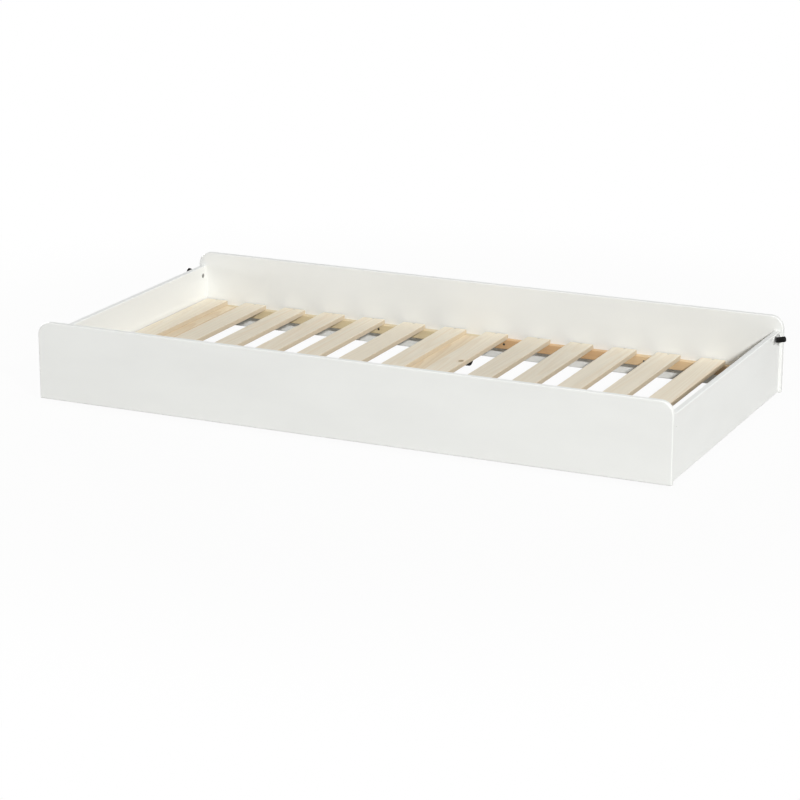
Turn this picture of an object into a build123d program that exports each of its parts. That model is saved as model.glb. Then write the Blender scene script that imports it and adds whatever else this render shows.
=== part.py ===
"""Trundle bed: a low box of white boards on six fixed casters, with a deck of pine slats.

Millimetres. X runs along the bed, Y from front to back, Z up. The origin is on the floor,
under the middle of the bed.
"""
import os

from build123d import *

os.makedirs("parts", exist_ok=True)

# Box of lacquered boards
bed_length = 1970
bed_width = 1000
board = 18
side_height = 234
end_height = 191
floor_gap = 14
end_inset = 8
corner_radius = 40
arris = 3

# Ledgers along the long boards, cross beams between them, and slats on top
slat_count = 14
slat_pitch = 141
slat_width = 77
slat_thickness = 15
slat_end_gap = 6
slat_corner = 5
slat_arris = 2
slat_top = floor_gap + 82.5
ledger_depth = 22
ledger_height = 30
ledger_end_gap = 2
timber_arris = 1.5
beam_width = 95
beam_thickness = 23
end_beam_x = 891.5

# Casters under the ends of the cross beams
caster_y = 408
end_caster_shift = 11.5
wheel_radius = 25
wheel_width = 22
tread_crown = 0.4
tread_shoulder = 3
rim_radius = 19
rim_lip = 2
hub_radius = 9
web_thickness = 8
web_draft = 1
rib_count = 6
rib_thickness = 2.4
rib_inset = 3
rib_root = 1
axle_radius = 4
axle_head_radius = 6.5
axle_head = 2.5
running_clearance = 0.05
fork_sheet = 2.5
fork_side_gap = 0.6
fork_foot_radius = 10
fork_top_width = 44
fork_bend = 4
plate_size = (56, 66)
plate_corner = 6
plate_screw_spacing = (38, 48)

# Pull-out stops on the outside of the end boards, near the back
stop_y = 442
stop_z = floor_gap + 175
stop_plate = (62, 26)
stop_flange = 3
stop_flange_edge = 1
stop_screw_spacing = (42, 10)
peg_drop = 2.5
peg_tilt = 13
peg_reach = 27
peg_radius = 8.5
peg_dome = 4
peg_foot = (8, 2.2)
peg_bore_depth = 16
spigot_radius = 4.5
spigot_reach = 15
spigot_root = 1.5

# Corner joints: cam locks with their bolts, and dowels
cam_radius = 7.5
cam_depth = 14
cam_height = 13.5
cam_channel = 8.4
cam_slot = (9, 1.6, 2.5)
cam_setback = 24
cam_from_bottom = 28
cam_from_top = 30
bolt_thread = (3, 11)
bolt_collar = (3.8, 2)
bolt_shank = (2.5, 15)
bolt_neck = (1.8, 6)
bolt_head = (3.2, 4)
bolt_way_radius = 4
dowel_radius = 4
dowel_chamfer = 1
dowel_in_side = 11
dowel_in_end = 19
dowel_flutes = 12
flute_radius = 0.4
fit_gap = 0.1

# Spare pilot hole in the outside of each end board, near the front
pilot_y = -450
pilot_z = floor_gap + 152
pilot_radius = 2
pilot_depth = 10

# Screws: shank radius, head radius, and how far the point goes into the second piece
slat_screw = (1.75, 3.5, 20)
ledger_screw = (2, 3.75, 12)
beam_screw = (2.5, 4.5, 48)
caster_screw = (2, 4, 16)
stop_screw = (1.5, 3, 12)
pan_height = 2.6
beam_head_height = 3.5
beam_screw_spacing = 72
ledger_screw_x = [-790, -560, -330, -100, 100, 330, 560, 790]
slat_screw_inset = 8
slat_screw_sink = 0.2

# Places worked out from the dimensions above
outer_y = bed_width / 2
inner_y = outer_y - board
end_outer_x = bed_length / 2 - end_inset
end_inner_x = end_outer_x - board
end_middle_x = end_outer_x - board / 2
slat_bottom = slat_top - slat_thickness
slat_length = 2 * (inner_y - slat_end_gap)
slat_x = [slat_pitch * (i - (slat_count - 1) / 2) for i in range(slat_count)]
slat_screw_y = slat_length / 2 - slat_screw_inset
ledger_face_y = inner_y - ledger_depth
ledger_level = slat_bottom - ledger_height / 2
ledger_length = 2 * (end_inner_x - ledger_end_gap)
beam_bottom = slat_bottom - beam_thickness
beam_level = slat_bottom - beam_thickness / 2
beam_x = {"left": -end_beam_x, "middle": 0, "right": end_beam_x}
beam_screw_x = [x + way * beam_screw_spacing / 2 for x in beam_x.values() for way in (-1, 1)]
fork_inner = wheel_width / 2 + fork_side_gap
fork_outer = fork_inner + fork_sheet
cam_levels = [floor_gap + cam_from_bottom, floor_gap + end_height - cam_from_top]
cam_step = (cam_levels[1] - cam_levels[0]) / 3
dowel_levels = [cam_levels[0] + cam_step, cam_levels[1] - cam_step]
cam_y = inner_y - cam_setback
joint_x = (-end_middle_x, end_middle_x)
sides = {"front": -1, "back": 1}
ends = {"left": -1, "right": 1}
end_caster_x = end_beam_x + end_caster_shift
caster_x = {"left": -end_caster_x, "middle": 0, "right": end_caster_x}
casters = [(f"{s}_{b}", x, sides[s] * caster_y) for s in sides for b, x in caster_x.items()]


def upright(origin, normal):
    """A plane on an upright face, with its second axis pointing up."""
    return Plane(origin, x_dir=Vector(0, 0, 1).cross(Vector(*normal)), z_dir=normal)


def turned(*outline):
    """A piece turned about its own Z axis, from half of its outline."""
    with BuildPart() as piece:
        with BuildSketch(Plane.XZ):
            with BuildLine():
                Polyline(*outline, close=True)
            make_face()
        revolve(axis=Axis.Z)
    return piece.part


def pan_screw(screw, through, height):
    """A screw with a round flat head that seats at z = 0, pointing down."""
    shank, head, point = screw
    tip = -through - point
    shaft = [(0, tip), (shank / 2, tip), (shank, tip + shank), (shank, 0)]
    return turned(*shaft, (head, 0), (head, height / 2), (head - height / 2, height), (0, height))


def flush_screw(screw, through):
    """A screw with a countersunk head, flush at z = 0, pointing down."""
    shank, head, point = screw
    tip = -through - point
    shaft = [(0, tip), (shank / 2, tip), (shank, tip + shank), (shank, shank - head)]
    return turned(*shaft, (head, 0), (0, 0))


# Front and back boards, the tall ones with rounded top corners
for name, side in sides.items():
    with BuildPart() as side_panel:
        with BuildSketch(Plane.XZ.offset(inner_y if side < 0 else -outer_y)) as outline:
            with Locations((0, floor_gap)):
                Rectangle(bed_length, side_height, align=(Align.CENTER, Align.MIN))
            fillet(outline.vertices().group_by(Axis.Y)[-1], corner_radius)
        extrude(amount=board)
        fillet(side_panel.faces().filter_by(Axis.Y).edges(), arris)
        with Locations(upright((0, side * inner_y, 0), (0, -side, 0))):
            with Locations(*[(x, z) for x in joint_x for z in cam_levels]):
                Hole(bolt_thread[0] + fit_gap, bolt_thread[1])
            with Locations(*[(x, z) for x in joint_x for z in dowel_levels]):
                Hole(dowel_radius + fit_gap, dowel_in_side)
            with Locations(*[(x, ledger_level) for x in ledger_screw_x]):
                Hole(ledger_screw[0] + fit_gap, ledger_screw[2])
    side_panel.part.label = f"{name}_panel"
    export_step(side_panel.part, f"parts/{name}_panel.step")

# Lower end boards, butted between the front and back boards
for name, end in ends.items():
    with BuildPart() as end_panel:
        with BuildSketch(Plane.YZ.offset(end_inner_x if end > 0 else -end_outer_x)):
            with Locations((0, floor_gap)):
                Rectangle(2 * inner_y, end_height, align=(Align.CENTER, Align.MIN))
        extrude(amount=board)
        fillet(end_panel.edges().filter_by(Axis.Y), arris)
        with Locations(upright((end * end_inner_x, 0, 0), (-end, 0, 0))):
            with Locations(*[(y, z) for y in (-cam_y, cam_y) for z in cam_levels]):
                Hole(cam_radius, cam_depth)
        for side in sides.values():
            with Locations(upright((end * end_middle_x, side * inner_y, 0), (0, side, 0))):
                with Locations(*[(0, z) for z in cam_levels]):
                    Hole(bolt_way_radius, cam_setback)
                with Locations(*[(0, z) for z in dowel_levels]):
                    Hole(dowel_radius + fit_gap, dowel_in_end)
        with Locations(upright((end * end_outer_x, stop_y, stop_z), (end, 0, 0))):
            with GridLocations(*stop_screw_spacing, 2, 2):
                Hole(stop_screw[0] + fit_gap, stop_screw[2])
        with Locations(upright((end * end_outer_x, pilot_y, pilot_z), (end, 0, 0))):
            Hole(pilot_radius, pilot_depth)
    end_panel.part.label = f"{name}_end_panel"
    export_step(end_panel.part, f"parts/{name}_end_panel.step")

# Cam locks, let into the inner faces of the end boards
with BuildPart() as cam_lock:
    Cylinder(cam_radius - fit_gap, cam_height, align=(Align.CENTER, Align.CENTER, Align.MAX))
    with Locations((0, 0, cam_depth - cam_height - board / 2)):
        Box(4 * cam_radius, cam_channel, cam_channel, mode=Mode.SUBTRACT)
    with PolarLocations(0, 2, angular_range=180):
        Box(*cam_slot, align=(Align.CENTER, Align.CENTER, Align.MAX), mode=Mode.SUBTRACT)
with BuildPart() as cam_locks:
    for end in ends.values():
        with Locations(upright((end * (end_inner_x + cam_depth - cam_height), 0, 0), (-end, 0, 0))):
            with Locations(*[(y, z) for y in (-cam_y, cam_y) for z in cam_levels]):
                add(cam_lock.part)
cam_locks.part.label = "cam_locks"
export_step(cam_locks.part, "parts/cam_locks.step")

# Cam bolts, screwed into the long boards with their heads in the cam locks
bolt_outline = [(0, -bolt_thread[1]), (bolt_thread[0], -bolt_thread[1]), (bolt_thread[0], 0)]
bolt_reach = 0
for radius, length in (bolt_collar, bolt_shank, bolt_neck, bolt_head):
    bolt_outline += [(radius, bolt_reach), (radius, bolt_reach + length)]
    bolt_reach += length
cam_bolt = turned(*bolt_outline, (0, bolt_reach))
with BuildPart() as cam_bolts:
    for side in sides.values():
        with Locations(upright((0, side * inner_y, 0), (0, -side, 0))):
            with Locations(*[(x, z) for x in joint_x for z in cam_levels]):
                add(cam_bolt)
cam_bolts.part.label = "cam_bolts"
export_step(cam_bolts.part, "parts/cam_bolts.step")

# Fluted beech dowels that line up the same corners
dowel_length = dowel_in_side + dowel_in_end
upward = (Align.CENTER, Align.CENTER, Align.MIN)
with BuildPart() as dowel:
    Cylinder(dowel_radius, dowel_length, align=upward)
    chamfer(dowel.edges(), dowel_chamfer)
    with PolarLocations(dowel_radius, dowel_flutes):
        Cylinder(flute_radius, dowel_length, align=upward, mode=Mode.SUBTRACT)
with BuildPart() as corner_dowels:
    for side in sides.values():
        with Locations(upright((0, side * (inner_y + dowel_in_side), 0), (0, -side, 0))):
            with Locations(*[(x, z) for x in joint_x for z in dowel_levels]):
                add(dowel.part)
corner_dowels.part.label = "corner_dowels"
export_step(corner_dowels.part, "parts/corner_dowels.step")

# Ledgers, pine battens along the inside of the long boards
for name, side in sides.items():
    with BuildPart() as ledger:
        with BuildSketch(Plane.YZ.offset(-ledger_length / 2)):
            with Locations((side * (inner_y - ledger_depth / 2), ledger_level)):
                RectangleRounded(ledger_depth, ledger_height, timber_arris)
        extrude(amount=ledger_length)
        with Locations(upright((0, side * ledger_face_y, 0), (0, -side, 0))):
            with Locations(*[(x, ledger_level) for x in ledger_screw_x]):
                CounterSinkHole(
                    ledger_screw[0] + fit_gap,
                    ledger_screw[1] + fit_gap,
                    ledger_depth,
                    counter_sink_angle=90,
                )
        with Locations(upright((0, side * inner_y, 0), (0, side, 0))):
            with Locations(*[(x, beam_level) for x in beam_screw_x]):
                CounterBoreHole(
                    beam_screw[0] + fit_gap,
                    beam_screw[1] + fit_gap,
                    beam_head_height,
                    ledger_depth,
                )
        with Locations(*[(x, side * slat_screw_y, slat_bottom) for x in slat_x]):
            Hole(slat_screw[0] + fit_gap, slat_screw[2])
    ledger.part.label = f"{name}_ledger"
    export_step(ledger.part, f"parts/{name}_ledger.step")

with BuildPart() as ledger_screws:
    for side in sides.values():
        with Locations(upright((0, side * ledger_face_y, 0), (0, -side, 0))):
            with Locations(*[(x, ledger_level) for x in ledger_screw_x]):
                add(flush_screw(ledger_screw, ledger_depth))
ledger_screws.part.label = "ledger_screws"
export_step(ledger_screws.part, "parts/ledger_screws.step")

# Cross beams between the ledgers, under the slats
for name, x in beam_x.items():
    with BuildPart() as beam:
        with BuildSketch(Plane.XZ.offset(-ledger_face_y)):
            with Locations((x, beam_level)):
                RectangleRounded(beam_width, beam_thickness, 2 * timber_arris)
        extrude(amount=2 * ledger_face_y)
        for side in sides.values():
            with Locations(upright((x, side * ledger_face_y, beam_level), (0, side, 0))):
                with GridLocations(beam_screw_spacing, 0, 2, 1):
                    Hole(beam_screw[0] + fit_gap, beam_screw[2])
            with Locations(Plane((caster_x[name], side * caster_y, beam_bottom), z_dir=(0, 0, -1))):
                with GridLocations(*plate_screw_spacing, 2, 2):
                    Hole(caster_screw[0] + fit_gap, caster_screw[2])
    beam.part.label = f"{name}_cross_beam"
    export_step(beam.part, f"parts/{name}_cross_beam.step")

with BuildPart() as beam_screws:
    for side in sides.values():
        seat_y = side * (inner_y - beam_head_height)
        with Locations(upright((0, seat_y, 0), (0, side, 0))):
            with Locations(*[(x, beam_level) for x in beam_screw_x]):
                add(pan_screw(beam_screw, ledger_depth - beam_head_height, beam_head_height))
beam_screws.part.label = "beam_screws"
export_step(beam_screws.part, "parts/beam_screws.step")

# Slats, numbered from the left end, resting on the ledgers and beams
for number, x in enumerate(slat_x, start=1):
    with BuildPart() as slat:
        with BuildSketch(Plane((x, 0, slat_bottom))):
            RectangleRounded(slat_width, slat_length, slat_corner)
        extrude(amount=slat_thickness)
        fillet(slat.faces().filter_by(Axis.Z).edges(), slat_arris)
        with Locations(*[(x, side * slat_screw_y, slat_top) for side in sides.values()]):
            CounterSinkHole(
                slat_screw[0] + fit_gap,
                slat_screw[1] + slat_screw_sink + fit_gap,
                slat_thickness,
                counter_sink_angle=90,
            )
    slat.part.label = f"slat_{number:02d}"
    export_step(slat.part, f"parts/slat_{number:02d}.step")

with BuildPart() as slat_screws:
    head_z = slat_top - slat_screw_sink
    with Locations(*[(x, side * slat_screw_y, head_z) for x in slat_x for side in sides.values()]):
        add(flush_screw(slat_screw, slat_thickness - slat_screw_sink))
slat_screws.part.label = "slat_screws"
export_step(slat_screws.part, "parts/slat_screws.step")

# Casters: a pressed fork under a plate, a riveted axle and a moulded wheel
for name, x, y in casters:
    plate_face = Plane((x, y, beam_bottom), z_dir=(0, 0, -1))
    axle_line = Axis((x, y, wheel_radius), (1, 0, 0))
    across = Plane((x, y, wheel_radius), x_dir=(1, 0, 0), z_dir=(0, -1, 0))
    fork_height = beam_bottom - fork_sheet - wheel_radius
    with BuildPart() as fork:
        with BuildSketch(across) as channel:
            with Locations((0, -fork_foot_radius)):
                Rectangle(2 * fork_outer, fork_height + fork_foot_radius, align=(Align.CENTER, Align.MIN))
            fillet(channel.vertices().group_by(Axis.Y)[-1], fork_bend)
            with Locations((0, -fork_foot_radius)):
                Rectangle(
                    2 * fork_inner,
                    fork_height + fork_foot_radius - fork_sheet,
                    align=(Align.CENTER, Align.MIN),
                    mode=Mode.SUBTRACT,
                )
        extrude(amount=fork_top_width / 2, both=True)
        with BuildSketch(Plane.YZ.offset(x)):
            with Locations((y, wheel_radius)):
                Circle(fork_foot_radius)
            with Locations((y, beam_bottom)):
                Rectangle(fork_top_width, 2 * fork_sheet)
            make_hull()
        extrude(amount=fork_outer, both=True, mode=Mode.INTERSECT)
        with BuildSketch(plate_face):
            RectangleRounded(*plate_size, plate_corner)
        extrude(amount=fork_sheet)
        with Locations(plate_face):
            with GridLocations(*plate_screw_spacing, 2, 2):
                Hole(caster_screw[0] + fit_gap, fork_sheet)
        with Locations(Plane((x + fork_outer, y, wheel_radius), z_dir=(1, 0, 0))):
            Hole(axle_radius + fit_gap, 2 * fork_outer)
    fork.part.label = f"{name}_caster_fork"
    export_step(fork.part, f"parts/{name}_caster_fork.step")

    with BuildPart() as axle:
        with BuildSketch(across):
            with BuildLine():
                Polyline(
                    (0, 0),
                    (0, axle_radius),
                    (fork_outer, axle_radius),
                    (fork_outer, axle_head_radius),
                    (fork_outer + axle_head / 2, axle_head_radius),
                    (fork_outer + axle_head, axle_head_radius - axle_head / 2),
                    (fork_outer + axle_head, 0),
                    close=True,
                )
            make_face()
            mirror(about=Plane.YZ)
        revolve(axis=axle_line)
    axle.part.label = f"{name}_caster_axle"
    export_step(axle.part, f"parts/{name}_caster_axle.step")

    with BuildPart() as wheel:
        with BuildSketch(across):
            with BuildLine():
                Polyline(
                    (0, axle_radius + running_clearance),
                    (wheel_width / 2, axle_radius + running_clearance),
                    (wheel_width / 2, hub_radius - web_draft),
                    (web_thickness / 2, hub_radius),
                    (web_thickness / 2, rim_radius - web_draft),
                    (wheel_width / 2 - rim_lip, rim_radius),
                    (wheel_width / 2, rim_radius + rim_lip),
                    (wheel_width / 2, wheel_radius - tread_crown - tread_shoulder),
                )
                shoulder = TangentArc(
                    (wheel_width / 2, wheel_radius - tread_crown - tread_shoulder),
                    (wheel_width / 2 - tread_shoulder, wheel_radius - tread_crown),
                    tangent=(0, 1),
                )
                Spline(
                    shoulder @ 1,
                    (0, wheel_radius),
                    tangents=[shoulder % 1, (-1, 0)],
                )
                Line((0, wheel_radius), (0, axle_radius + running_clearance))
            make_face()
            mirror(about=Plane.YZ)
        revolve(axis=axle_line)
        with Locations(Plane((x, y, wheel_radius), z_dir=(1, 0, 0))):
            with PolarLocations((hub_radius + rim_radius) / 2, rib_count):
                Box(rim_radius - hub_radius + rib_root, rib_thickness, wheel_width - 2 * rib_inset)
    wheel.part.label = f"{name}_caster_wheel"
    export_step(wheel.part, f"parts/{name}_caster_wheel.step")

with BuildPart() as caster_screws:
    for name, x, y in casters:
        with Locations(Plane((x, y, beam_bottom - fork_sheet), z_dir=(0, 0, -1))):
            with GridLocations(*plate_screw_spacing, 2, 2):
                add(pan_screw(caster_screw, fork_sheet, pan_height))
caster_screws.part.label = "caster_screws"
export_step(caster_screws.part, "parts/caster_screws.step")

# Pull-out stops: a steel plate with a slanted spigot, and a rubber peg pushed over it, flush on the plate
for name, end in ends.items():
    plate_plane = upright((end * end_outer_x, stop_y, stop_z), (end, 0, 0))
    face_plane = plate_plane.offset(stop_flange)
    peg_base = Vector(end * (end_outer_x + stop_flange), stop_y, stop_z - peg_drop)
    peg_way = Vector(end, 0, 0).rotate(Axis.Y, -end * peg_tilt)
    along = Plane(peg_base, x_dir=peg_way, z_dir=(0, -1, 0))
    with BuildPart() as flange:
        with BuildSketch(plate_plane):
            SlotOverall(*stop_plate)
        extrude(amount=stop_flange)
        chamfer(flange.faces().sort_by(Axis.X)[-1 if end > 0 else 0].edges(), stop_flange_edge)
        with BuildSketch(Plane(peg_base - peg_way * spigot_root, z_dir=peg_way)):
            Circle(spigot_radius)
        extrude(amount=spigot_root + spigot_reach)
        with Locations(face_plane):
            with GridLocations(*stop_screw_spacing, 2, 2):
                CounterSinkHole(
                    stop_screw[0] + fit_gap,
                    stop_screw[1] + fit_gap,
                    stop_flange,
                    counter_sink_angle=90,
                )
    flange.part.label = f"{name}_stop_flange"
    export_step(flange.part, f"parts/{name}_stop_flange.step")

    with BuildPart() as peg:
        with BuildSketch(along):
            with BuildLine():
                Polyline(
                    (peg_bore_depth, 0),
                    (peg_bore_depth, spigot_radius + fit_gap),
                    (-peg_foot[1], spigot_radius + fit_gap),
                    (-peg_foot[1], peg_foot[0]),
                    (peg_foot[1], peg_foot[0]),
                    (peg_foot[1], peg_radius),
                    (peg_reach - peg_dome, peg_radius),
                )
                dome = TangentArc(
                    (peg_reach - peg_dome, peg_radius),
                    (peg_reach, peg_radius - peg_dome),
                    tangent=(1, 0),
                )
                Polyline(dome @ 1, (peg_reach, 0), (peg_bore_depth, 0))
            make_face()
        revolve(axis=Axis(peg_base, peg_way))
        split(bisect_by=face_plane, keep=Keep.TOP)
    peg.part.label = f"{name}_stop_peg"
    export_step(peg.part, f"parts/{name}_stop_peg.step")

with BuildPart() as stop_screws:
    for end in ends.values():
        with Locations(upright((end * (end_outer_x + stop_flange), stop_y, stop_z), (end, 0, 0))):
            with GridLocations(*stop_screw_spacing, 2, 2):
                add(flush_screw(stop_screw, stop_flange))
stop_screws.part.label = "stop_screws"
export_step(stop_screws.part, "parts/stop_screws.step")
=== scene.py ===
import math
import random

import bmesh
import bpy
from mathutils import Matrix, Vector


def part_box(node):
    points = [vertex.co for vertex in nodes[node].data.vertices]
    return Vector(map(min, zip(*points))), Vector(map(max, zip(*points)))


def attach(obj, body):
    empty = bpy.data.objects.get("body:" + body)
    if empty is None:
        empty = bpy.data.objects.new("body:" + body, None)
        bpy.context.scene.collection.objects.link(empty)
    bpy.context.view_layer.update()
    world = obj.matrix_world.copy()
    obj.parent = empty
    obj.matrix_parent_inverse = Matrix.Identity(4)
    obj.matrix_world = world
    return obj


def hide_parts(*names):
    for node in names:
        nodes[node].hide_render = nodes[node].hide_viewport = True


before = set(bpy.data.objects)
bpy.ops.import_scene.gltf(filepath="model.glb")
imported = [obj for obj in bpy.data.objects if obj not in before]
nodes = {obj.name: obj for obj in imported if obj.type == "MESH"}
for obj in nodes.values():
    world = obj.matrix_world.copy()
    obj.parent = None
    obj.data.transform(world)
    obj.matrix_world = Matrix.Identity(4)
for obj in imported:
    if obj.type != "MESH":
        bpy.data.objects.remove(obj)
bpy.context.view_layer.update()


# The four boards of the box: tall front and back boards with rounded top corners, and two lower end
# boards between them. They are 18 mm fibreboard, routed with a small round on every edge. The satin white
# lacquer is sprayed on and dries to a faint orange peel. A greyer tone along the arrises is painted shade
# on the rounded edges.
class Wire:
    """An output in a finish's node tree. Sums on wires add Math nodes, and node() adds any other node."""

    def __init__(self, tree, socket=None):
        self.tree = tree
        self.socket = socket

    def node(self, kind, settings=None, inputs=None, output=0):
        made = self.tree.nodes.new(kind)
        for name, value in (settings or {}).items():
            setattr(made, name, value)
        for name, value in (inputs or {}).items():
            entry = made.inputs[name]
            if isinstance(value, Wire):
                self.tree.links.new(value.socket, entry)
            elif entry.type == "RGBA":
                entry.default_value = (*value, 1)
            else:
                entry.default_value = value
        return Wire(self.tree, made.outputs[output])

    def into(self, shader, name):
        self.tree.links.new(self.socket, shader.inputs[name])

    def math(self, operation, *values):
        return self.node("ShaderNodeMath", {"operation": operation}, dict(enumerate(values)))

    def alone(self, operation):
        """A sum on this wire alone, such as FRACT or ABSOLUTE."""
        return self.math(operation, self)

    def __add__(self, other):
        return self.math("ADD", self, other)

    def __radd__(self, other):
        return self.math("ADD", other, self)

    def __sub__(self, other):
        return self.math("SUBTRACT", self, other)

    def __rsub__(self, other):
        return self.math("SUBTRACT", other, self)

    def __mul__(self, other):
        return self.math("MULTIPLY", self, other)

    def __rmul__(self, other):
        return self.math("MULTIPLY", other, self)

    def __truediv__(self, other):
        return self.math("DIVIDE", self, other)

    def __pow__(self, other):
        return self.math("POWER", self, other)

    def step(self, start, end):
        """0 up to start, 1 from end on, with a soft rise between them."""
        return self.node(
            "ShaderNodeMapRange",
            {"interpolation_type": "SMOOTHSTEP"},
            {"Value": self, "From Min": start, "From Max": end},
        )

    def mix(self, share, low, high, blend="MIX"):
        """Two colours mixed. A Mix node has its share at 0, its colours at 6 and 7, its result at 2."""
        settings = {"data_type": "RGBA", "blend_type": blend}
        return self.node("ShaderNodeMix", settings, {0: share, 6: low, 7: high}, 2)

    def between(self, low, high):
        """The colour low where this wire is 0, the colour high where it is 1."""
        return self.mix(self, low, high)

    def shaded(self, shade):
        """This colour times a shade of grey."""
        return self.mix(1.0, self, shade, "MULTIPLY")

    def parts(self):
        """The three numbers of a vector."""
        split = self.node("ShaderNodeSeparateXYZ", inputs={0: self})
        return [Wire(self.tree, number) for number in split.socket.node.outputs]

    def stretched(self, *scale):
        return self.node("ShaderNodeVectorMath", {"operation": "MULTIPLY"}, {0: self, 1: scale})

    def cloud(self, scale=1.0, detail=2.0, seed=0.0):
        """Soft noise from 0 to 1 at this place, with about scale spots to the metre."""
        return self.node(
            "ShaderNodeTexNoise",
            {"noise_dimensions": "4D"},
            {"Vector": self, "W": seed, "Scale": scale, "Detail": detail},
        )

    def rounded(self, radius):
        """The normal of a face whose edges are eased to a radius."""
        return self.node("ShaderNodeBevel", {"samples": 4}, {"Radius": radius})

    def bump(self, height, depth, strength, **base):
        """A normal that follows a height of depth metres. base may give the Normal it starts from."""
        inputs = {"Strength": strength, "Distance": depth, "Height": height, **base}
        return self.node("ShaderNodeBump", inputs=inputs)

    def arris(self, radius):
        """Near 1 along an outer edge, 0 on a flat face."""
        first_turn = 0.01
        full_turn = 0.25
        facing = self.node("ShaderNodeNewGeometry", output="Normal")
        dot = {"operation": "DOT_PRODUCT"}
        level = self.node("ShaderNodeVectorMath", dot, {0: self.rounded(radius), 1: facing}, "Value")
        return (1 - level).step(first_turn, full_turn)


def new_finish(name):
    """A material, the place on the piece as a wire, and its shader."""
    finish = bpy.data.materials.new(name)
    finish.use_nodes = True
    place = Wire(finish.node_tree).node("ShaderNodeTexCoord", output="Object")
    return finish, place, finish.node_tree.nodes["Principled BSDF"]


def coat(finish, *names):
    for name in names:
        nodes[name].data.materials.clear()
        nodes[name].data.materials.append(finish)


def white_lacquer():
    white = (0.80, 0.81, 0.79)
    dull = (0.77, 0.779, 0.76)
    painted_arris_shade = (0.70, 0.70, 0.675)
    sweeps_per_metre = 2.4
    peel_per_metre = 420
    nibs_per_metre = 900
    nib_seed = 4
    edge_radius = 0.003
    relief = 0.00008
    finish, place, shader = new_finish("white_lacquer")
    sweep = place.stretched(1, 1, 3).cloud(sweeps_per_metre, 3)
    peel = place.cloud(peel_per_metre, 1)
    nibs = place.cloud(nibs_per_metre, 0, nib_seed).step(0.76, 0.82)
    colour = sweep.step(0.3, 0.72).between(white, dull)
    # Painted shade: along the arrises the lacquer is mixed towards a greyer white.
    colour = (place.arris(edge_radius) * 0.6).between(colour, painted_arris_shade)
    colour.into(shader, "Base Color")
    (0.32 + 0.16 * sweep + 0.08 * nibs).into(shader, "Roughness")
    place.bump(peel + 0.6 * nibs, relief, 0.5).into(shader, "Normal")
    return finish


coat(white_lacquer(), "front_panel", "back_panel", "left_end_panel", "right_end_panel")


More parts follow.
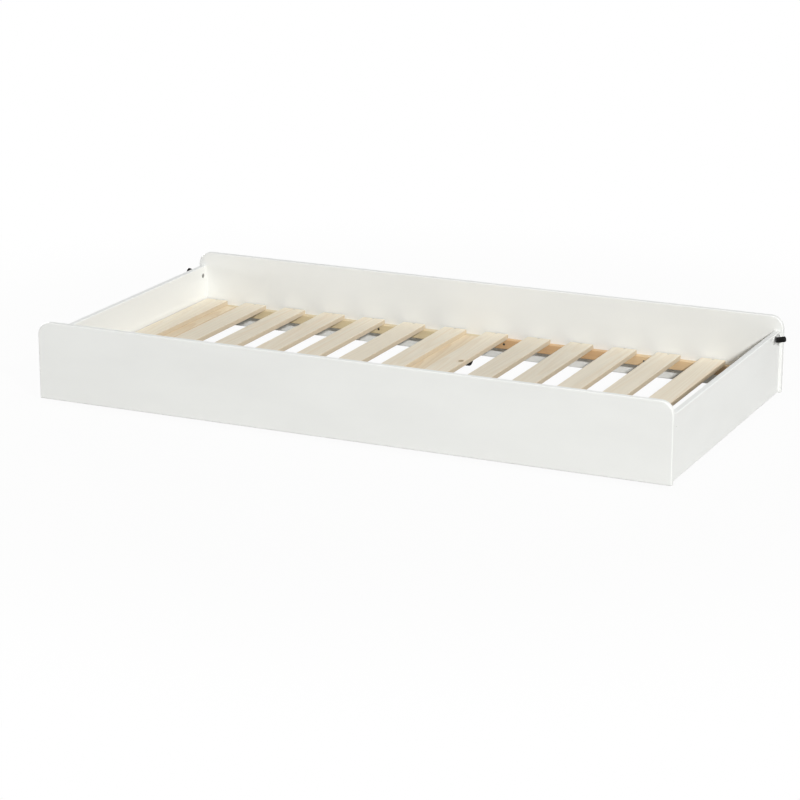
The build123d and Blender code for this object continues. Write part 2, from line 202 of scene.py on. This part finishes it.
# The corner joints: dowels, cam bolts and cam locks. The dowels are fluted beech and the bolts zinc plated
# steel. The locks are die-cast zinc drums, let flush into the inner faces of the end boards.
def sawn_wood(name, centre, turn, seed, tones, pith, drift=0.02, ring=0.0034, grain=0.3, eased=0.0015,
              knots=(), joints=()):
    """Wood cut lengthwise. centre and turn bring the piece to the origin, with its length along Y.
    tones are the colours of the early wood, the late wood, the heart streaks and the narrow sides; the last
    is darker partly for edge grain and partly as painted shade.
    pith is the X and Z of the middle of the tree, and drift how much that line slants along Y.
    ring is the width of a year, and grain how strongly the rings show.
    eased is the radius that the planer leaves on the edges. knots are (x, y, radius).
    joints are glued finger joints, each as its Y and the tones of the length beyond it."""
    knot_wood = (0.36, 0.27, 0.15)
    knot_rim = (0.22, 0.15, 0.08)
    knot_stretch = 0.7
    knot_ragged = 0.0016
    swell_reach = 2.4
    swell_push = 1.4
    finger_pitch = 0.0075
    finger_slant = 0.02
    glue_line = 0.0004
    wander = 0.014
    relief = 0.00012
    finish, place, shader = new_finish(name)
    place = place.node("ShaderNodeVectorMath", {"operation": "SUBTRACT"}, {0: place, 1: centre})
    place = place.node("ShaderNodeMapping", inputs={"Vector": place, "Rotation": (0, 0, turn)})
    facing = place.node("ShaderNodeTexCoord", output="Normal")
    facing = place.node("ShaderNodeMapping", inputs={"Vector": facing, "Rotation": (0, 0, turn)})
    x, y, z = place.parts()

    def noise(across, along, detail, offset=0.0):
        """Soft noise with so many spots to the metre across the grain and along it."""
        return place.stretched(across, along, across).cloud(detail=detail, seed=seed + offset)

    for joint_y, next_tones in joints:
        fingers = (z / finger_pitch).alone("FRACT") - 0.5
        slanted = y + finger_slant * fingers.alone("ABSOLUTE")
        beyond = slanted.step(joint_y - glue_line, joint_y + glue_line)
        tones = [beyond.between(near, far) for near, far in zip(tones, next_tones)]
    pale, late, heart, edge = tones
    sway = noise(5, 1.1, 2) - 0.5
    lean = noise(4, 0.8, 2, 0.5) - 0.5
    across = x - pith[0] + wander * sway
    down = z - pith[1] + drift * y + wander * lean
    radius = (across * across + down * down) ** 0.5
    core = 0.0
    rim = 0.0
    halo = 0.0
    for knot_x, knot_y, size in knots:
        off = x - knot_x
        away = (off * off + (knot_stretch * (y - knot_y)) ** 2) ** 0.5 + knot_ragged * sway
        swell = (0 - (away / (swell_reach * size)) ** 2).alone("EXPONENT")
        radius = radius + swell_push * size * swell
        core = core + (1 - away.step(0.8 * size, size))
        rim = rim + away.step(0.75 * size, size) * (1 - away.step(size, 1.2 * size))
        halo = halo + (1 - away.step(size, 2.6 * size))
    cycle = (radius / ring).alone("FRACT")
    late_wood = cycle.step(0.25, 0.9) * (1 - cycle.step(0.93, 1.0))
    year = noise(26, 0.5, 1, 0.75)
    fibre = noise(1500, 14, 3)
    streak = noise(55, 0.8, 3, 0.25).step(0.5, 0.78)
    stripe = noise(190, 2.2, 2, 0.4)
    canal = noise(800, 30, 0).step(0.7, 0.8)
    side_grain_and_shade = facing.parts()[0].alone("ABSOLUTE").step(0.25, 0.8)
    end_grain = facing.parts()[1].alone("ABSOLUTE").step(0.6, 0.95)
    # Partly painted shade: faces turned sideways, and the rounded arrises next to them, take the darker
    # side tone.
    colour = (0.85 * side_grain_and_shade).between(pale, edge)
    colour = (grain * (0.5 + year) * late_wood).between(colour, late)
    colour = (0.45 * streak).between(colour, heart)
    if knots:
        colour = (0.5 * halo).between(colour, heart)
        colour = core.between(colour, knot_wood)
        colour = (0.7 * rim).between(colour, knot_rim)
    shade = 0.85 + 0.14 * fibre + 0.16 * stripe - 0.10 * canal - 0.16 * end_grain
    colour.shaded(shade).into(shader, "Base Color")
    (0.56 + 0.14 * fibre + 0.05 * late_wood).into(shader, "Roughness")
    rounded = place.rounded(eased)
    place.bump(fibre + 0.5 * late_wood - canal, relief, 0.6, Normal=rounded).into(shader, "Normal")
    return finish


def bare_metal(name, tint, rough, grain):
    """Metal with a fine grain: tint is its colour, rough its roughness, grain the size of its speckle."""
    dulled = [0.82 * part for part in tint]
    film_per_metre = 60
    relief = 0.00003
    finish, place, shader = new_finish(name)
    shader.inputs["Metallic"].default_value = 1.0
    speckle = place.cloud(1 / grain, 2)
    film = place.cloud(film_per_metre, 3)
    film.step(0.25, 0.8).between(tint, dulled).into(shader, "Base Color")
    (rough - 0.06 + 0.16 * speckle + 0.06 * film).into(shader, "Roughness")
    place.bump(speckle, relief, 0.5).into(shader, "Normal")
    return finish


dowel_tones = ((0.63, 0.47, 0.31), (0.52, 0.36, 0.22), (0.56, 0.38, 0.24), (0.60, 0.44, 0.28))
beech = sawn_wood("beech", (0, 0, 0), turn=0, seed=2.0, tones=dowel_tones, pith=(0.03, 0.0), ring=0.0012)
zinc_plate = bare_metal("zinc_plate", tint=(0.62, 0.62, 0.60), rough=0.36, grain=0.0009)
cast_zinc = bare_metal("cast_zinc", tint=(0.40, 0.40, 0.39), rough=0.44, grain=0.0006)
coat(beech, "corner_dowels")
coat(zinc_plate, "cam_bolts")
coat(cast_zinc, "cam_locks")


# The ledgers: two planed pine battens along the inside of the long boards, which carry the ends of the
# slats. Each is finger-jointed from three lengths of different tone, and screwed through its face into the
# board with black countersunk screws.
# The last tone of each, for the faces along the board, is darker partly for edge grain and partly as
# painted shade.
ledger_pale = ((0.68, 0.58, 0.40), (0.52, 0.40, 0.24), (0.56, 0.43, 0.26), (0.68, 0.56, 0.34))
ledger_warm = ((0.64, 0.44, 0.25), (0.44, 0.26, 0.12), (0.48, 0.29, 0.14), (0.58, 0.36, 0.18))
ledger_tan = ((0.68, 0.52, 0.32), (0.52, 0.36, 0.20), (0.56, 0.39, 0.22), (0.68, 0.48, 0.27))
ledger_joints = ((0.070, ledger_warm), (0.46, ledger_tan))
ledger_pith = (0.05, -0.09)
ledger_round = 0.004
ledger_seed = 31
quarter_turn = math.pi / 2
for number, name in enumerate(("front_ledger", "back_ledger")):
    low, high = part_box(name)
    middle = (low + high) / 2
    pine = sawn_wood(
        name,
        middle,
        quarter_turn,
        ledger_seed + number,
        ledger_pale,
        ledger_pith,
        eased=ledger_round,
        joints=ledger_joints,
    )
    coat(pine, name)


def powder_coat():
    black = (0.014, 0.014, 0.015)
    worn = (0.07, 0.07, 0.07)
    peel_per_metre = 900
    wear_per_metre = 140
    edge_radius = 0.0012
    relief = 0.00006
    finish, place, shader = new_finish("powder_coat")
    peel = place.cloud(peel_per_metre, 2)
    wear = place.arris(edge_radius) * place.cloud(wear_per_metre, 3).step(0.42, 0.62)
    (0.7 * wear).between(black, worn).into(shader, "Base Color")
    (0.42 + 0.16 * peel).into(shader, "Roughness")
    place.bump(peel, relief, 0.6).into(shader, "Normal")
    return finish


def solids(name):
    """The lowest and highest corners of each separate solid in a node."""
    same_spot = 1e-6
    shape = bmesh.new()
    shape.from_mesh(nodes[name].data)
    bmesh.ops.remove_doubles(shape, verts=shape.verts, dist=same_spot)
    boxes = []
    seen = set()
    for first in shape.verts:
        if first in seen:
            continue
        seen.add(first)
        reached = [first]
        for vert in reached:
            fresh = [edge.other_vert(vert) for edge in vert.link_edges]
            fresh = [other for other in fresh if other not in seen]
            seen.update(fresh)
            reached += fresh
        corners = [vert.co for vert in reached]
        boxes.append((Vector(map(min, zip(*corners))), Vector(map(max, zip(*corners)))))
    shape.free()
    return boxes


def flush_outline(head, length):
    """Radius and height down a countersunk screw, from the rim of its top to its point."""
    shank = head / 2
    point = head / 8
    return [(head, 0), (shank, -shank), (shank, shank - length), (point, -length)]


def pan_outline(head, length):
    """The same for a screw with a low rounded head."""
    shank = head / 2
    point = head / 8
    under = -0.65 * head
    crown = [(0.62 * head, 0), (0.88 * head, -0.12 * head), (head, -0.34 * head), (head, under)]
    return crown + [(shank, under), (shank, shank - length), (point, -length)]


def cross_screw(outline):
    """A screw with a cross recess in its top at z = 0, turned to the outline below that."""
    rim = outline[0][0]
    arm = 0.6 * rim
    depth = 0.7 * rim
    taper = 0.6
    sides = 24
    shape = bmesh.new()
    bmesh.ops.create_grid(shape, x_segments=3, y_segments=3, size=arm)
    middles = [(face, face.calc_center_median()) for face in shape.faces]
    corners = [face for face, spot in middles if min(abs(spot.x), abs(spot.y)) > arm / 3]
    bmesh.ops.delete(shape, geom=corners, context="FACES")
    cross = shape.faces[:]
    mouth = [edge for edge in shape.edges if edge.is_boundary]
    circle = bmesh.ops.create_circle(shape, segments=sides, radius=rim)
    edge_ring = list(dict.fromkeys(edge for vert in circle["verts"] for edge in vert.link_edges))
    bmesh.ops.bridge_loops(shape, edges=mouth + edge_ring)
    recess = bmesh.ops.extrude_face_region(shape, geom=cross)
    floor_verts = [part for part in recess["geom"] if isinstance(part, bmesh.types.BMVert)]
    bmesh.ops.scale(shape, vec=(taper, taper, 1), verts=floor_verts)
    bmesh.ops.translate(shape, vec=(0, 0, -depth), verts=floor_verts)
    last_radius, last_height = outline[0]
    for radius, height in outline[1:]:
        lower = bmesh.ops.extrude_edge_only(shape, edges=edge_ring)["geom"]
        verts = [part for part in lower if isinstance(part, bmesh.types.BMVert)]
        edges = [part for part in lower if isinstance(part, bmesh.types.BMEdge)]
        edge_ring = [edge for edge in edges if edge.is_boundary]
        share = radius / last_radius
        bmesh.ops.scale(shape, vec=(share, share, 1), verts=verts)
        bmesh.ops.translate(shape, vec=(0, 0, height - last_height), verts=verts)
        last_radius = radius
        last_height = height
    bmesh.ops.holes_fill(shape, edges=edge_ring)
    bmesh.ops.recalc_face_normals(shape, faces=shape.faces)
    # An extrusion gives its faces in no fixed order, so they are put in the order of their middles.
    in_order = sorted(shape.faces, key=lambda face: face.calc_center_median()[:])
    for number, face in enumerate(in_order):
        face.index = number
    shape.faces.sort()
    return shape


scene = bpy.context.scene


def drive_screws(name, facing, outline, finish):
    """Cross recess screws in place of a node's plain ones. facing gives the way a head at a place looks."""
    crease = math.radians(35)
    draw = random.Random(name)
    group = bmesh.new()
    for low, high in solids(name):
        size = high - low
        middle = (low + high) / 2
        way = Vector(facing(middle))
        length = abs(size.dot(way))
        head = max(width for width, along in zip(size, way) if along == 0) / 2
        screw = cross_screw(outline(head, length))
        spin = Matrix.Rotation(draw.uniform(0, math.pi / 2), 4, "Z")
        stand = way.to_track_quat("Z", "Y").to_matrix().to_4x4()
        seat = Matrix.Translation(middle + way * length / 2) @ stand @ spin
        bmesh.ops.transform(screw, matrix=seat, verts=screw.verts)
        one = bpy.data.meshes.new("screw")
        screw.to_mesh(one)
        screw.free()
        group.from_mesh(one)
        bpy.data.meshes.remove(one)
    mesh = bpy.data.meshes.new(f"{name}_driven")
    for face in group.faces:
        face.smooth = True
    group.to_mesh(mesh)
    group.free()
    mesh.set_sharp_from_angle(angle=crease)
    mesh.materials.append(finish)
    piece = bpy.data.objects.new(f"{name}_driven", mesh)
    scene.collection.objects.link(piece)
    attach(piece, "bed_frame")
    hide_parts(name)


def inwards(spot):
    """The way from a long board to the middle of the bed."""
    return (0, -math.copysign(1, spot.y), 0)


black_coat = powder_coat()
drive_screws("ledger_screws", inwards, flush_outline, black_coat)


# The cross beams: three flat pine rails between the ledgers, which carry the casters and the middle of the
# slats. They are held by zinc plated screws, driven through the ledgers from outside.
# The last tone, for the beam sides, is darker partly for edge grain and partly as painted shade.
beam_pine = ((0.74, 0.63, 0.46), (0.62, 0.47, 0.30), (0.64, 0.48, 0.31), (0.50, 0.35, 0.20))
beam_grain = 0.45
beam_seed = 41
for number, name in enumerate(("left_cross_beam", "middle_cross_beam", "right_cross_beam")):
    low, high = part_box(name)
    middle = (low + high) / 2
    side = (-1) ** number
    beam_pith = (0.03 * side, -0.09)
    coat(sawn_wood(name, middle, 0, beam_seed + number, beam_pine, beam_pith, grain=beam_grain), name)
coat(zinc_plate, "beam_screws")


# The slats: fourteen planed pine boards laid across the ledgers, each held by a countersunk screw at both
# ends. They are pale sapwood, a little different from board to board, with fine rings, some warmer streaks
# and few knots.
slat_pale = Vector((0.79, 0.725, 0.595))
slat_late = Vector((0.72, 0.60, 0.44))
slat_heart = Vector((0.74, 0.585, 0.41))
# The side tone is darker partly for edge grain and partly as painted shade on the slat sides.
slat_side_grain_and_shade = Vector((0.55, 0.455, 0.325))
slat_knots = {4: [(-0.018, -0.24, 0.004)], 8: [(0.027, 0.131, 0.007)], 11: [(0.012, -0.33, 0.005)]}
slat_count = 14
slat_seed = 15647
tone_range = (0.92, 1.05)
pith_beside = 0.06
pith_away = (0.08, 0.2)
most_drift = 0.02
draw = random.Random(slat_seed)
for number in range(1, slat_count + 1):
    name = f"slat_{number:02d}"
    low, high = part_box(name)
    middle = (low + high) / 2
    tone = draw.uniform(*tone_range)
    tones = [tone * colour for colour in (slat_pale, slat_late, slat_heart, slat_side_grain_and_shade)]
    beside = draw.uniform(-pith_beside, pith_beside)
    over_or_under = draw.choice((-1, 1))
    pith = (beside, over_or_under * draw.uniform(*pith_away))
    drift = draw.uniform(-most_drift, most_drift)
    knots = slat_knots.get(number, ())
    coat(sawn_wood(name, middle, 0, number, tones, pith, drift, knots=knots), name)
drive_screws("slat_screws", lambda spot: (0, 0, 1), flush_outline, zinc_plate)


# The casters: six fixed ones under the ends of the beams. Each has a pressed and powder coated steel fork
# on a screwed plate, a riveted steel axle, and a ribbed wheel moulded in black plastic.
def moulded_black(name, black, gloss, wheel=None):
    """Black plastic or rubber. wheel is the Y and Z of an axle and the radius of its dusty wheel."""
    dusty = (0.036, 0.035, 0.033)
    mould_per_metre = 1600
    bloom_per_metre = 70
    relief = 0.00005
    finish, place, shader = new_finish(name)
    shader.inputs["Specular IOR Level"].default_value = gloss
    mould = place.cloud(mould_per_metre, 1)
    bloom = place.cloud(bloom_per_metre, 3)
    colour = (0.15 * bloom).between(black, dusty)
    if wheel:
        axle_y, axle_z, wheel_radius = wheel
        y, z = place.parts()[1:]
        reach = y.alone("ABSOLUTE") - axle_y
        radius = (reach * reach + (z - axle_z) ** 2) ** 0.5
        tread = radius.step(0.92 * wheel_radius, 0.984 * wheel_radius)
        colour = (0.6 * tread * bloom.step(0.3, 0.7)).between(colour, dusty)
    colour.into(shader, "Base Color")
    (0.40 + 0.18 * mould + 0.10 * bloom).into(shader, "Roughness")
    place.bump(mould, relief, 0.5).into(shader, "Normal")
    return finish


low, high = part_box("back_left_caster_wheel")
axle = (low + high) / 2
back_wheel = (axle.y, axle.z, (high.z - low.z) / 2)
wheel_plastic = moulded_black("wheel_plastic", (0.007, 0.007, 0.0075), gloss=0.2, wheel=back_wheel)
for side in ("front", "back"):
    for beam in ("left", "middle", "right"):
        coat(black_coat, f"{side}_{beam}_caster_fork")
        coat(zinc_plate, f"{side}_{beam}_caster_axle")
        coat(wheel_plastic, f"{side}_{beam}_caster_wheel")
drive_screws("caster_screws", lambda spot: (0, 0, -1), pan_outline, zinc_plate)


# The pull-out stops: a zinc plated plate on the outside of each end board, near the back, held by four
# small black screws, with a black rubber peg pushed over its slanted spigot.
def outwards(spot):
    """The way from an end board to the outside of the bed."""
    return (math.copysign(1, spot.x), 0, 0)


stop_rubber = moulded_black("stop_rubber", (0.004, 0.004, 0.004), gloss=0.1)
for end in ("left", "right"):
    coat(zinc_plate, f"{end}_stop_flange")
    coat(stop_rubber, f"{end}_stop_peg")
drive_screws("stop_screws", outwards, flush_outline, black_coat)


# The stage: a pale floor that runs out to white and keeps the bed's shadow, under a white sky. The main
# lamp stands at the front right, a low one at the front left, a wide one over the deck, a low one behind.
floor_size = 60.0
floor_grey = (0.47, 0.46, 0.44, 1)
floor_rough = 0.7
white_share = 0.96
shadow_reach = (1.4, 2.6)
sky_light = 0.22
scene.view_settings.view_transform = "Standard"

floor_mesh = bmesh.new()
bmesh.ops.create_grid(floor_mesh, x_segments=1, y_segments=1, size=floor_size / 2)
floor_data = bpy.data.meshes.new("floor")
floor_mesh.to_mesh(floor_data)
floor_mesh.free()
floor = bpy.data.objects.new("floor", floor_data)
scene.collection.objects.link(floor)
floor_finish, floor_place, floor_shader = new_finish("floor")
floor_shader.inputs["Base Color"].default_value = floor_grey
floor_shader.inputs["Roughness"].default_value = floor_rough


def straight_rays(wire):
    """1 for rays that show the background, straight, mirrored or through glass, 0 for rays that light."""
    kinds = ("Is Camera Ray", "Is Glossy Ray", "Is Transmission Ray")
    seen, mirrored, through = (wire.node("ShaderNodeLightPath", output=kind) for kind in kinds)
    return seen + mirrored + through


behind = floor_place.node("ShaderNodeNewGeometry", output="Backfacing")
glow = floor_place.node("ShaderNodeEmission", inputs={"Color": (1, 1, 1), "Strength": 1.0})
clear = floor_place.node("ShaderNodeBsdfTransparent")
lit = Wire(floor_finish.node_tree, floor_shader.outputs[0])
away = floor_place.node("ShaderNodeVectorMath", {"operation": "LENGTH"}, {0: floor_place}, "Value")
share = (white_share + (1 - white_share) * away.step(*shadow_reach)) * straight_rays(floor_place)
pale = floor_place.node("ShaderNodeMixShader", inputs={0: share, 1: lit, 2: glow})
one_sided = floor_place.node("ShaderNodeMixShader", inputs={0: behind, 1: pale, 2: clear})
one_sided.into(floor_finish.node_tree.nodes["Material Output"], "Surface")
floor_data.materials.append(floor_finish)

sky = bpy.data.worlds.new("sky")
sky.use_nodes = True
scene.world = sky
backdrop = sky.node_tree.nodes["Background"]
backdrop.inputs["Color"].default_value = (1, 1, 1, 1)
(sky_light + (1 - sky_light) * straight_rays(Wire(sky.node_tree))).into(backdrop, "Strength")


def soft_box(name, azimuth, elevation, distance, size, strength):
    """A round lamp that shines on the bed. azimuth is counted from the front towards the right."""
    turn = math.radians(azimuth)
    rise = math.radians(elevation)
    way = Vector((math.sin(turn) * math.cos(rise), -math.cos(turn) * math.cos(rise), math.sin(rise)))
    lamp = bpy.data.lights.new(name, "AREA")
    lamp.shape = "DISK"
    lamp.size = size
    lamp.energy = strength * math.pi * distance ** 2
    thing = bpy.data.objects.new(name, lamp)
    thing.location = distance * way
    thing.rotation_euler = way.to_track_quat("Z", "Y").to_euler()
    scene.collection.objects.link(thing)


soft_box("key_lamp", azimuth=47, elevation=28.5, distance=18, size=1.3, strength=2.82)
soft_box("front_lamp", azimuth=-40, elevation=4, distance=5, size=0.6, strength=0.22)
soft_box("over_lamp", azimuth=50, elevation=74, distance=3.3, size=2.0, strength=0.54)
soft_box("back_lamp", azimuth=228, elevation=3, distance=14, size=1.4, strength=2.7)

# The camera stands where the photograph's stood, in front of the bed and to its right. Its place, angles
# and focal length come from a fit to the corners of the boards in the frame of 800 pixels.
photo_width = 800
focal_pixels = 2709.97
camera_spot = Vector((3.20085, -7.04724, 2.28699))
turn_left = math.radians(24.7166)
look_down = math.radians(16.4807)
roll = math.radians(0.1115)
far_end = 200
camera_data = bpy.data.cameras.new("camera")
camera_data.lens = focal_pixels / photo_width * camera_data.sensor_width
camera_data.clip_end = far_end
camera = bpy.data.objects.new("camera", camera_data)
aim = Matrix.Rotation(turn_left, 4, "Z") @ Matrix.Rotation(math.pi / 2 - look_down, 4, "X")
camera.matrix_world = Matrix.Translation(camera_spot) @ aim @ Matrix.Rotation(roll, 4, "Z")
scene.collection.objects.link(camera)
scene.camera = camera
